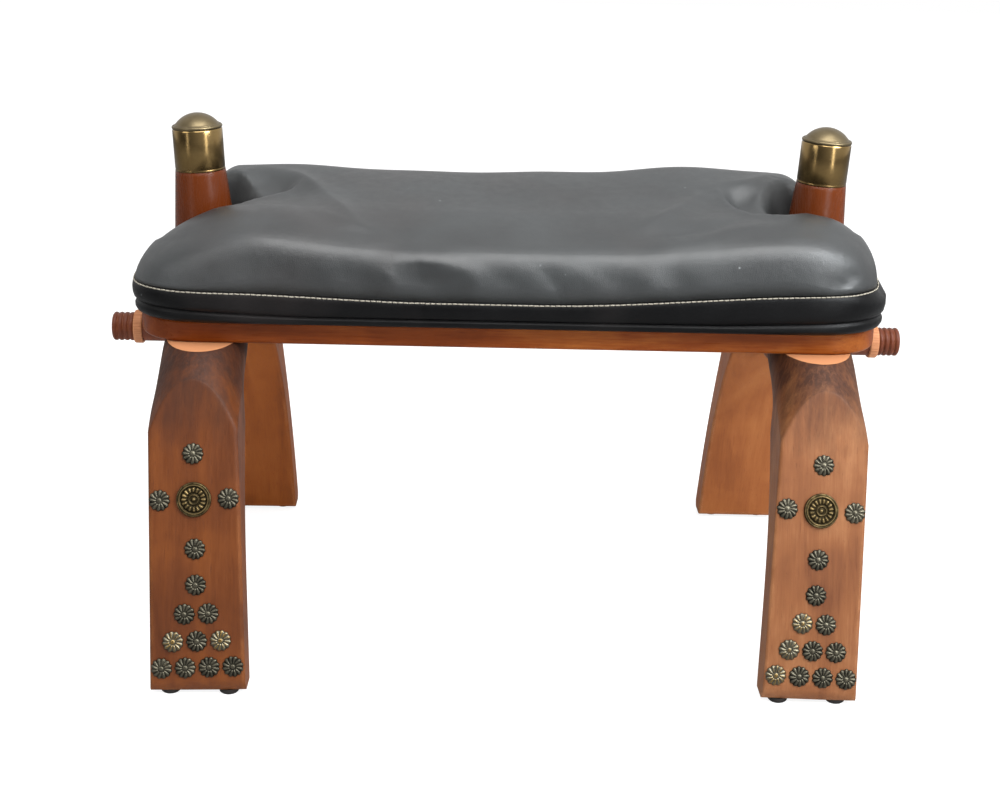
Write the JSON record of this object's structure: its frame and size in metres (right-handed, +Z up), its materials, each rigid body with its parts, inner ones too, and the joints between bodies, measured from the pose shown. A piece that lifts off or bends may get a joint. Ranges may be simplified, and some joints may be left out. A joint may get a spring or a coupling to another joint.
{
  "type": "camel saddle stool",
  "caption": "Low wooden saddle stool with wishbone end frames, brass capped posts, a round stretcher, two seat rails and a loose black cushion.",
  "frame": {"origin": "on the floor under the middle of the stool", "axes": "+Z up, +X along the stretcher from one end frame to the other, -Y the front"},
  "size_m": [0.66, 0.406, 0.4161],
  "materials": {
    "leg_wood": "stained and waxed, satin",
    "rail_wood": "dark stained, satin",
    "stretcher_wood": "stained, satin",
    "raw_wood": "unstained, matt",
    "antique_brass": "antiqued, satin",
    "glide_plastic": "matt",
    "screw_steel": "bright",
    "black_leather": "soft satin",
    "filling": "loose filling"
  },
  "bodies": {
    "frame": {"right_front_leg": "leg_wood", "left_front_leg": "leg_wood", "right_rear_leg": "leg_wood", "left_rear_leg": "leg_wood", "right_front_rosettes": "antique_brass", "left_front_rosettes": "antique_brass", "right_rear_rosettes": "antique_brass", "left_rear_rosettes": "antique_brass", "medallions": "antique_brass", "glides": "glide_plastic", "right_frame_tenon": "raw_wood", "left_frame_tenon": "raw_wood", "right_ferrule": "antique_brass", "left_ferrule": "antique_brass", "caps": "antique_brass", "collars": "raw_wood", "stretcher": "stretcher_wood", "front_rail": "rail_wood", "rear_rail": "rail_wood", "rail_screws": "screw_steel"},
    "cushion": {"cushion_cover": "black_leather", "cushion_filling": "filling"}
  },
  "joints": [
    {"name": "cushion_lift", "type": "slide", "parent": "frame", "child": "cushion", "axis": [0, 0, 1], "range_m": [0, 0.16]}
  ]
}
